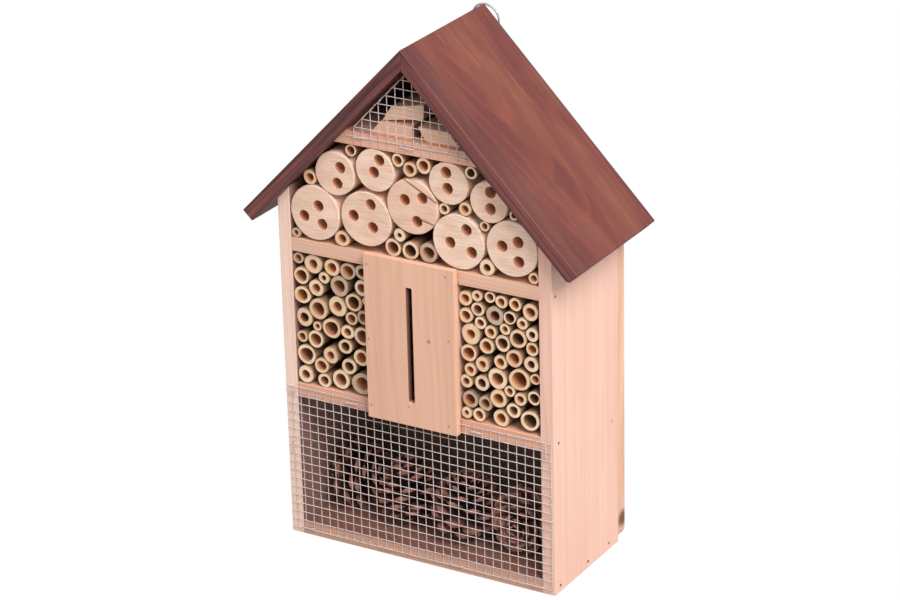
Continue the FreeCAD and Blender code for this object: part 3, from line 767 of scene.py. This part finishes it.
def offcuts():
    for number, pith in enumerate(((0.02, 0.05), (-0.03, 0.06), (0.05, 0.3)), 1):
        node = "wood_offcut_%d" % number
        # painted shade: each offcut's end that faces +X is darkened
        fir = sawn_wood("offcut_fir_%d" % number, *FRESH, ALONG_X, pith, 2.3 * MM, inward=(1, 0, 0),
                        shade_tint=tint(54, 32, 30))
        put(node + "_sawn", eased(node, OFFCUT_EASE), fir, "offcut_wood", node)


def roof():
    """Two stained boards, mitred at the ridge, with the near eave corner knocked."""
    low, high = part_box("right_roof_board")
    surface = high.z * math.cos(ROOF_SLOPE)
    tilt = 0.12
    sunk = surface - high.z * math.sin(ROOF_SLOPE) * tilt
    corner = Vector((high.x - 3.2 * MM, low.y, low.z))
    chips = [
        (corner + Vector((1.4, 0.9, 0.4)) * MM, Vector((0.55, -0.75, -0.35)).normalized()),
        (corner + Vector((0.2, 1.8, 0.9)) * MM, Vector((0.1, -0.62, -0.78)).normalized()),
    ]
    for side, way, pith, knocks in (("right", -1, (sunk - 7 * MM, 9 * MM), chips),
                                    ("left", 1, (sunk - 16 * MM, 34 * MM), ())):
        node = side + "_roof_board"
        turn = (0, -math.pi / 2 + way * ROOF_SLOPE, 0)
        stain = stained_wood(side + "_roof_stain", turn, pith, tilt, low.y, high.y)
        put(side + "_roof", eased(node, ROOF_EASE, knocks), stain, "stained_roof", node)


# ---- wire mesh and staples ----
def marks(first, pitch, low, high):
    """Every place first + n * pitch from low to high."""
    start = math.ceil((low - first) / pitch)
    end = math.floor((high - first) / pitch)
    return [first + number * pitch for number in range(start, end + 1)]


def straight(start, end, step=6 * MM):
    """Points along a straight wire, close enough for it to bend between them."""
    count = max(2, math.ceil((end - start).length / step) + 1)
    return [start.lerp(end, number / (count - 1)) for number in range(count)]


def chains(paths):
    """One mesh of separate edge chains."""
    points = [point for path in paths for point in path]
    edges = []
    first = 0
    for path in paths:
        edges += [(first + number, first + number + 1) for number in range(len(path) - 1)]
        first += len(path)
    return mesh_from("chains", points, edges=edges)


def under_roof(point):
    """Folds a point of the gable mesh back where it lies past the fold line."""
    side = math.copysign(1, point.x)
    outward = Vector((side * math.sin(ROOF_SLOPE), 0, math.cos(ROOF_SLOPE)))
    past = point.dot(outward) - FOLD_LINE
    if past <= 0:
        return point
    folded = outward * math.cos(FOLD_ANGLE) + Vector((0, math.sin(FOLD_ANGLE), 0))
    return point + (folded - outward) * past


def weave(name, node, paths, tree, finish, step, seed):
    wires = grow(name, chains(paths), tree, Radius=WIRE_RADIUS, Step=step, Wander=WIRE_WANDER, Seed=seed,
                 Material=finish)
    put(name, wires, None, "mesh_wire", node)


def lower_mesh(tree, finish):
    low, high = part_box("lower_mesh")
    back = high.y - WIRE_RADIUS
    front = low.y + WIRE_RADIUS
    uneven = random.Random(4)
    paths = []
    for x in marks(LOWER_WIRE_X, MESH_PITCH_X, low.x, high.x):
        top = high.z - uneven.uniform(0, 0.8) * MM
        foot = low.z + uneven.uniform(0, 0.8) * MM
        paths.append(straight(Vector((x, back, foot)), Vector((x, back, top))))
    for z in marks(LOWER_WIRE_Z, MESH_PITCH_Z, low.z, high.z):
        end = high.x - uneven.uniform(0, 0.6) * MM
        start = low.x + uneven.uniform(0, 0.6) * MM
        paths.append(straight(Vector((start, front, z)), Vector((end, front, z))))
    weave("lower_wires", "lower_mesh", paths, tree, finish, 1.1 * MM, 3.0)


def gable_mesh(tree, finish):
    """Wires cut to the gable. Those that pass the fold line are bent back along the roof."""
    low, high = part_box("gable_mesh")
    front = low.y + WIRE_RADIUS
    back = front + 2 * WIRE_RADIUS
    shelf_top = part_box("gable_shelf")[1].z
    bend = 0.8 * MM                                     # the step along a wire that may fold
    uneven = random.Random(9)
    paths = []
    for x in marks(GABLE_WIRE_X, MESH_PITCH_X, low.x, high.x):
        fold = GABLE_FOLD * uneven.uniform(0.85, 1.0)
        top = (FOLD_LINE - abs(x) * math.sin(ROOF_SLOPE)) / math.cos(ROOF_SLOPE)
        if top < shelf_top:
            paths.append(straight(Vector((x, back, low.z)), Vector((x, back, top))))
            continue
        end = Vector((x, back, top + fold / math.cos(ROOF_SLOPE)))
        paths.append([under_roof(point) for point in straight(Vector((x, back, low.z)), end, bend)])
    for z in marks(GABLE_WIRE_Z, MESH_PITCH_Z, low.z, high.z):
        fold = uneven.uniform(0.6, 1.4) * MM if z > shelf_top else 0.0
        reach = (FOLD_LINE + fold - z * math.cos(ROOF_SLOPE)) / math.sin(ROOF_SLOPE)
        level = straight(Vector((-reach, front, z)), Vector((reach, front, z)), bend)
        paths.append([under_roof(point) for point in level])
    weave("gable_wires", "gable_mesh", paths, tree, finish, 0.9 * MM, 8.0)


def staples(node, tree, finish):
    """Round-shouldered wire staples driven over the mesh at slightly different angles."""
    uneven = random.Random(len(node))
    paths = []
    for solid in solids_of(node):
        middle, size = middle_and_size(solid)
        lengthways = Vector((1, 0, 0)) if size[0] > size[2] else Vector((0, 0, 1))
        half = max(size[0], size[2]) / 2 - STAPLE_RADIUS
        along = Matrix.Rotation(uneven.uniform(-0.12, 0.12), 3, "Y") @ lengthways
        crown = Vector((middle[0], solid[:, 1].min() + STAPLE_RADIUS, middle[2]))
        inward = Vector((0, STAPLE_LEG, 0))
        corners = [crown - along * half + inward, crown - along * half, crown + along * half,
                   crown + along * half + inward]
        path = corners[:1]
        for start, end in zip(corners, corners[1:]):
            path += straight(start, end, 1 * MM)[1:]
        paths.append(path)
    wires = grow(node + "_wire", chains(paths), tree, Radius=STAPLE_RADIUS, Step=0.5 * MM, Wander=0.0,
                 Seed=1.0, Material=finish)
    put(node + "_driven", wires, None, "staple_wire", node)


# ---- fasteners ----
def lathe(profile, sides):
    """Points and faces of a closed turned shape from (radius, height) points, pole to pole."""
    points = [(0, 0, profile[0][1])]
    for radius, height in profile[1:-1]:
        points += [(radius * math.cos(angle), radius * math.sin(angle), height) for angle in angles(sides)]
    points.append((0, 0, profile[-1][1]))
    rings = len(profile) - 2
    bottom = [face[::-1] for face in fan(1, sides, 0)]
    top = fan(1 + (rings - 1) * sides, sides, len(points) - 1)
    return points, bottom + wall_faces(rings, sides, 1) + top


def set_heads(name, node, profile, sides, spots, facings, tree, finish, slot, jitter, seed):
    """Turned heads, one at each spot; the turned shape is removed once it has been used."""
    head = new_object("head", smooth(mesh_from("head", *lathe(profile, sides))))
    heads = grow(name, mesh_from("spots", spots, facing=facings), tree, Shape=head, Jitter=jitter, Seed=seed,
                 Material=finish)
    bpy.data.objects.remove(head)
    put(name, smooth(heads), None, slot, node)


def pin_heads(node, toward, tree, finish):
    """Panel pins: a round flat head with a dished middle, set just into the wood."""
    spots = []
    facings = []
    for solid in solids_of(node):
        middle, size = middle_and_size(solid)
        facing = toward(Vector(middle))
        reach = max(abs(size[0] * facing.x), abs(size[1] * facing.y)) / 2
        spots.append(Vector(middle) + facing * (reach - PIN_STAND))
        facings.append(facing)
        radius = sorted(size)[1] / 2 * 0.94
    profile = [(0, -0.4 * MM), (radius * 0.8, -0.4 * MM), (radius, -0.1 * MM), (radius, 0.1 * MM),
               (radius * 0.8, 0.26 * MM), (radius * 0.4, 0.2 * MM), (0, 0.16 * MM)]
    set_heads(node + "_heads", node, profile, 20, spots, facings, tree, finish, "nail_steel", 0.08, 2)


# ---- logs ----
def hole_centres(number):
    """Centres of the holes drilled in a log, from the openings that the record states."""
    start = "log_%d_hole_" % number
    stated = [opening["box_m"] for opening in frame["record"]["physics"]["openings"]
              if opening["name"].startswith(start)]
    return [((low[0] + high[0]) / 2, (low[2] + high[2]) / 2) for low, high in stated]


def loop_of(shape, x, z, y, radius, shares):
    """A loop of points round an axis that runs back, each at its own share of the radius."""
    return [shape.verts.new((x + radius * share * math.cos(angle), y, z + radius * share * math.sin(angle)))
            for angle, share in zip(angles(len(shares)), shares)]


def bridge(shape, first, second):
    for number, (here, there) in enumerate(zip(first, second)):
        after = (number + 1) % len(first)
        shape.faces.new((here, first[after], second[after], there))


def loop_edges(shape, loop):
    return [shape.edges.get((point, loop[number - 1])) for number, point in enumerate(loop)]


def drill(shape, x, z, front, rng):
    """Drills one hole with a torn lip. Returns the lip's edges and the points inside."""
    sides = 28
    torn = [rng.uniform(0.97, 1.06) for _ in range(sides)]
    even = [1.0] * sides
    end = front + LOG_HOLE_DEPTH
    lip = loop_of(shape, x, z, front, LOG_HOLE_RADIUS + 0.25 * MM, torn)
    throat = loop_of(shape, x, z, front + 0.5 * MM, LOG_HOLE_RADIUS, even)
    base = loop_of(shape, x, z, end, LOG_HOLE_RADIUS * 0.97, even)
    tip = shape.verts.new((x, end + 1.6 * MM, z))
    bridge(shape, lip, throat)
    bridge(shape, throat, base)
    for spot in range(sides):
        shape.faces.new((base[spot], base[(spot + 1) % sides], tip))
    return loop_edges(shape, lip), {*throat, *base, tip}


def log_mesh(number, rng):
    """A log with softened sawn edges, not quite round, and its holes drilled from the front."""
    low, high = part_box("drilled_log_%d" % number)
    centre = (low + high) / 2
    radius = (high.x - low.x) / 2
    phase = rng.uniform(0, math.tau)
    girth = [0.988 + 0.008 * math.cos(2 * angle + phase) + 0.004 * math.cos(5 * angle - phase)
             for angle in angles(72)]
    shape = bmesh.new()
    loops = [loop_of(shape, centre.x, centre.z, y, reach, girth) for y, reach in (
        (low.y, radius - LOG_EASE), (low.y + 0.9 * LOG_EASE, radius), (high.y - LOG_EASE, radius),
        (high.y, radius - 1.2 * LOG_EASE))]
    for first, second in zip(loops, loops[1:]):
        bridge(shape, first, second)
    shape.faces.new(loops[-1])
    rims = loop_edges(shape, loops[0])
    bored = set()
    for x, z in hole_centres(number):
        lip, inside = drill(shape, x, z, low.y, rng)
        rims += lip
        bored |= inside
    bmesh.ops.triangle_fill(shape, use_beauty=True, edges=rims)
    off_x, off_z = (rng.uniform(-0.3, 0.3) * radius for _ in range(2))
    pith = Vector((centre.x + off_x, low.y, centre.z + off_z))
    columns = {
        "bored": [1.0 if vertex in bored else 0.0 for vertex in shape.verts],
        "from_pith": [vertex.co - pith for vertex in shape.verts],
        "seed": [number * 3.7] * len(shape.verts),
    }
    mesh = settled(shape, bpy.data.meshes.new("log"))
    return smooth(mark_points(mesh, **columns), 40)


CRACKED_LOG = 5
# the two ends of each crack, from the log's middle, as shares of its radius
CRACKS = [((-0.30, 0.94), (0.94, 0.30)), ((0.36, -0.42), (0.98, -0.55))]


def logs():
    plain = sawn_log("log_wood")
    low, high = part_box("drilled_log_%d" % CRACKED_LOG)
    middle = Vector(((low.x + high.x) / 2, low.y, (low.z + high.z) / 2))
    radius = (high.x - low.x) / 2
    cracks = [[middle + radius * Vector((x, 0, z)) for x, z in crack] for crack in CRACKS]
    cracked = sawn_log("cracked_log_wood", cracks)
    rng = random.Random(11)
    for number in range(1, 10):
        wood = cracked if number == CRACKED_LOG else plain
        put("log_%d" % number, log_mesh(number, rng), wood, "log_wood", "drilled_log_%d" % number)


# ---- canes ----
def blank_tube(sides=26):
    """A tube with no size of its own: every point carries where it belongs on a cane."""
    rows = [(1.0, 1.0, 0.0, 0.0)]                                   # wall, along, rim, open
    rows += [(1.0, 1.0 - step / 12, 0.0, 1.0) for step in range(12)]
    rows += [(1.0, 0.004, 0.0, 1.0), (0.95, 0.0, 1.0, 1.0), (0.65, 0.0, 1.0, 1.0), (0.35, 0.0, 1.0, 1.0),
             (0.06, 0.0, 1.0, 1.0), (0.0, 0.006, 0.0, 1.0)]
    rows += [(0.0, step / 6, 0.0, 1.0) for step in range(1, 7)]
    rows += [(0.0, 1.0, 0.0, 0.0)]
    columns = {"around": angles(sides) * len(rows)}
    for key, column in zip(("wall", "along", "rim", "open"), zip(*rows)):
        columns[key] = [value for value in column for _ in range(sides)]
    points = [(0, 0, 0)] * (len(rows) * sides)
    return new_object("cane_blank", mesh_from("cane_blank", points, wall_faces(len(rows), sides), **columns))


def cane_sizes(node, rng):
    """Front centre, radius, bore and length of each cane in a node, and how each one grew."""
    rows = []
    for solid in solids_of(node):
        middle, size = middle_and_size(solid)
        front = solid[:, 1].min()
        rim = solid[np.abs(solid[:, 1] - front) < 0.01 * MM]
        rows.append({
            "spot": (middle[0], front, middle[2]),
            "radius": size[0] / 2,
            "bore": np.hypot(rim[:, 0] - middle[0], rim[:, 2] - middle[2]).min(),
            "length": size[1],
            "depth": size[1] - CANE_CLOSED_END,
            "phase": rng.uniform(0, 6.0),
            "tone": rng.random(),
            "joint": rng.uniform(0.12, 0.9),
        })
    return rows


def canes():
    cane = dry_cane("dry_cane")
    tree = cane_tree()
    blank = blank_tube()
    rng = random.Random(23)
    for node in ("left_bay_canes", "right_bay_canes", "log_bay_canes"):
        rows = cane_sizes(node, rng)
        columns = {key: [row[key] for row in rows] for key in rows[0]}
        cloud = mesh_from("cane_fronts", columns.pop("spot"), **columns)
        bundle = grow(node + "_cut", cloud, tree, Blank=blank, Ovality=0.028, Swell=0.05, Material=cane)
        settled(merged(bundle, 1e-6), bundle)
        put(node + "_cut", smooth(bundle, 50), None, "cane", node)
    bpy.data.objects.remove(blank)


# ---- pine cones ----
def scale_shape():
    """One woody scale, one unit long along Z: a thin stalk that widens to a thick, keeled tip."""
    outline = ((-1, 0.0), (-0.55, 0.75), (0, 1.0), (0.55, 0.75), (1, 0.0), (0, -0.8))
    sections = [                                                    # along, half width, thickness, tip
        (0.0, 0.06, 0.030, 0.0), (0.35, 0.15, 0.035, 0.2), (0.68, 0.28, 0.05, 0.5),
        (0.86, 0.31, 0.09, 0.8), (0.97, 0.19, 0.09, 1.0),
    ]
    points = []
    tips = []
    for along, half, thick, tip in sections:
        curl = -0.10 * along * along
        points += [(curl + over * thick, across * half, along) for across, over in outline]
        tips += [tip] * len(outline)
    count = len(outline)
    faces = wall_faces(len(sections), count) + fan(len(points) - count, count, len(points))
    faces.append(tuple(range(count)))
    mesh = mesh_from("scale", points + [(-0.04, 0, 1.0)], faces, tip=tips + [1.0])
    settled(merged(mesh, 1e-6), mesh)
    return new_object("scale", smooth(mesh, 50))


CONES = {                                                           # scales, girth, length, tilts in degrees
    "pine_cone_1": (66, 22.0 * MM, 46 * MM, 78, 24),
    "pine_cone_2": (70, 21.0 * MM, 52 * MM, -12, 8),
    "pine_cone_3": (70, 22.0 * MM, 52 * MM, 10, -6),
    "pine_cone_4": (64, 21.0 * MM, 44 * MM, 8, -84),
}


def pine_cones():
    woody = cone_scale("cone_scale")
    tree = cone_tree()
    shape = scale_shape()
    for seed, (node, (count, girth, length, tilt_x, tilt_y)) in enumerate(CONES.items(), 5):
        cone = grow(node + "_open", mesh_from("cone", [(0, 0, 0)]), tree, Shape=shape, Scales=count,
                    Girth=girth, Length=length, Seed=seed, Material=woody)
        low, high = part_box(node)
        turn = Matrix.Rotation(math.radians(-tilt_y), 4, "X") @ Matrix.Rotation(math.radians(tilt_x), 4, "Y")
        cone.transform(Matrix.Translation((low + high) / 2) @ turn)
        put(node + "_open", cone, None, "cone_scale", node)
    bpy.data.objects.remove(shape)


# ---- hanger ----
def hanging_ring(wires, steel):
    low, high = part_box("hanging_ring")
    swing = next(joint for joint in frame["joints"] if joint["name"] == "ring_swing")
    radius = (high.x - low.x) / 2 - RING_WIRE
    centre = Vector((0, (low.y + high.y) / 2, (low.z + high.z) / 2))
    upward = (centre - Vector(swing["pos_m"])).normalized()
    loop = [centre + radius * (math.sin(angle) * Vector((1, 0, 0)) - math.cos(angle) * upward)
            for angle in angles(90) + [math.tau]]
    ring = grow("hanging_ring_wire", chains([loop]), wires, Radius=RING_WIRE, Step=0.7 * MM, Wander=0.0,
                Seed=0.0, Material=steel)
    put("hanging_ring_wire", ring, None, "hanger_steel", "hanging_ring", body=RING)


def hanger(wires, scatter):
    steel = zinc("hanger_zinc", tint(214, 210, 210), tint(172, 168, 168), 0.38, 0.5)
    put("hanger_strap_folded", eased("hanger_strap", STRAP_EASE), steel, "hanger_steel", "hanger_strap")
    hanging_ring(wires, steel)
    spots = []
    for solid in solids_of("hanger_screws"):
        middle = middle_and_size(solid)[0]
        spots.append((middle[0], solid[:, 1].max() - SCREW_HEAD_HEIGHT, middle[2]))
    profile = [(0, 0), (SCREW_HEAD * 0.9, 0), (SCREW_HEAD, 0.25 * MM), (SCREW_HEAD * 0.97, 0.8 * MM),
               (SCREW_HEAD * 0.8, 1.3 * MM), (SCREW_HEAD * 0.5, 1.55 * MM), (SCREW_HEAD * 0.3, 1.2 * MM),
               (0, 0.7 * MM)]
    set_heads("hanger_screw_heads", "hanger_screws", profile, 28, spots, [(0, 1, 0)] * len(spots), scatter,
              steel, "hanger_steel", 0.0, 6)


# ---- studio ----
def floor():
    """A ground that is grey to the light and plain white to the camera, so that it has no horizon."""
    ground = Finish("floor", Roughness=0.9)
    haze = ground.noise(ground.place(), scale=0.7, detail=1.0)
    colour = ground.mix(haze, (0.40, 0.40, 0.40, 1), (0.46, 0.45, 0.44, 1))
    ground.feed(ground.shader.inputs["Base Color"], colour)
    white = ground.node("ShaderNodeEmission", {0: (1, 1, 1, 1), 1: 1.0})
    seen = ground.node("ShaderNodeLightPath")
    paper = ground.node("ShaderNodeMixShader", {0: seen, 1: ground.surface, 2: white})
    ground.feed(ground.end.inputs[0], paper)
    half = 14.0
    corners = [(-half, -half, 0), (half, -half, 0), (half, half, 0), (-half, half, 0)]
    mesh = mesh_from("floor", corners, [(0, 1, 2, 3)])
    mesh.materials.append(ground.material)
    plane = new_object("floor", mesh)


def direction(azimuth, elevation):
    """The way to a viewpoint, in degrees round from the front and up."""
    turn, rise = math.radians(azimuth), math.radians(elevation)
    return Vector((math.sin(turn) * math.cos(rise), -math.cos(turn) * math.cos(rise), math.sin(rise)))


def studio():
    """An even white surround, which lights less than it shows, and one soft light from the right."""
    surround = 0.70
    world = bpy.data.worlds.new("studio")
    world.use_nodes = True
    graph = Graph(world.node_tree)
    seen = graph.node("ShaderNodeLightPath")
    background = world.node_tree.nodes["Background"]
    background.inputs[0].default_value = (1, 1, 1, 1)
    graph.feed(background.inputs[1], graph.math("MAXIMUM", seen, surround))
    bpy.context.scene.world = world
    bpy.context.scene.view_settings.view_transform = "Standard"
    light = bpy.data.lights.new("key", "AREA")
    light.size = 1.0
    light.energy = 49
    lamp = new_object("key", light)
    way = direction(62, 46)
    lamp.location = Vector((0, 0, 0.18)) + way * 2.2
    lamp.rotation_mode = "QUATERNION"
    lamp.rotation_quaternion = (-way).to_track_quat("-Z", "Y")


def camera():
    """Three-quarter view from the front right, a little above, held a touch off level."""
    roll = math.radians(-1.44)
    target = Vector((27.8 * MM, BODY_FRONT, 197.9 * MM))
    distance = 2.115
    back = direction(30.9, 23.05)
    right = (-back).cross(Vector((0, 0, 1))).normalized()
    up = right.cross(-back)
    level_x = right * math.cos(roll) + up * math.sin(roll)
    level_y = up * math.cos(roll) - right * math.sin(roll)
    lens = bpy.data.cameras.new("camera")
    lens.lens = 130.7
    lens.sensor_width = 36
    eye = new_object("camera", lens)
    turn = Matrix((level_x, level_y, back)).transposed()
    eye.matrix_world = Matrix.Translation(target + back * distance) @ turn.to_4x4()
    bpy.context.scene.camera = eye


def main():
    wires = wire_tree()
    scatter = scatter_tree()
    mesh_zinc = zinc("mesh_zinc", tint(230, 220, 218), tint(194, 184, 182), 0.42, 0.2)
    staple_zinc = zinc("staple_zinc", tint(236, 224, 214), tint(196, 178, 164), 0.4, 0.3)
    nail_steel = zinc("nail_steel", tint(138, 104, 86), tint(98, 70, 56), 0.55, 0.3)
    pin_steel = zinc("pin_steel", tint(196, 148, 122), tint(164, 118, 94), 0.5, 0.15)
    timber()
    front_panel()
    roof()
    lower_mesh(wires, mesh_zinc)
    gable_mesh(wires, mesh_zinc)
    staples("lower_mesh_staples", wires, staple_zinc)
    staples("gable_staples", wires, staple_zinc)
    pin_heads("wall_nails", lambda spot: Vector((math.copysign(1, spot.x), 0, 0)), scatter, nail_steel)
    pin_heads("back_nails", lambda spot: Vector((0, 1, 0)), scatter, nail_steel)
    pin_heads("panel_pins", lambda spot: Vector((0, -1, 0)), scatter, pin_steel)
    logs()
    canes()
    pine_cones()
    offcuts()
    hanger(wires, scatter)
    floor()
    studio()
    camera()


main()
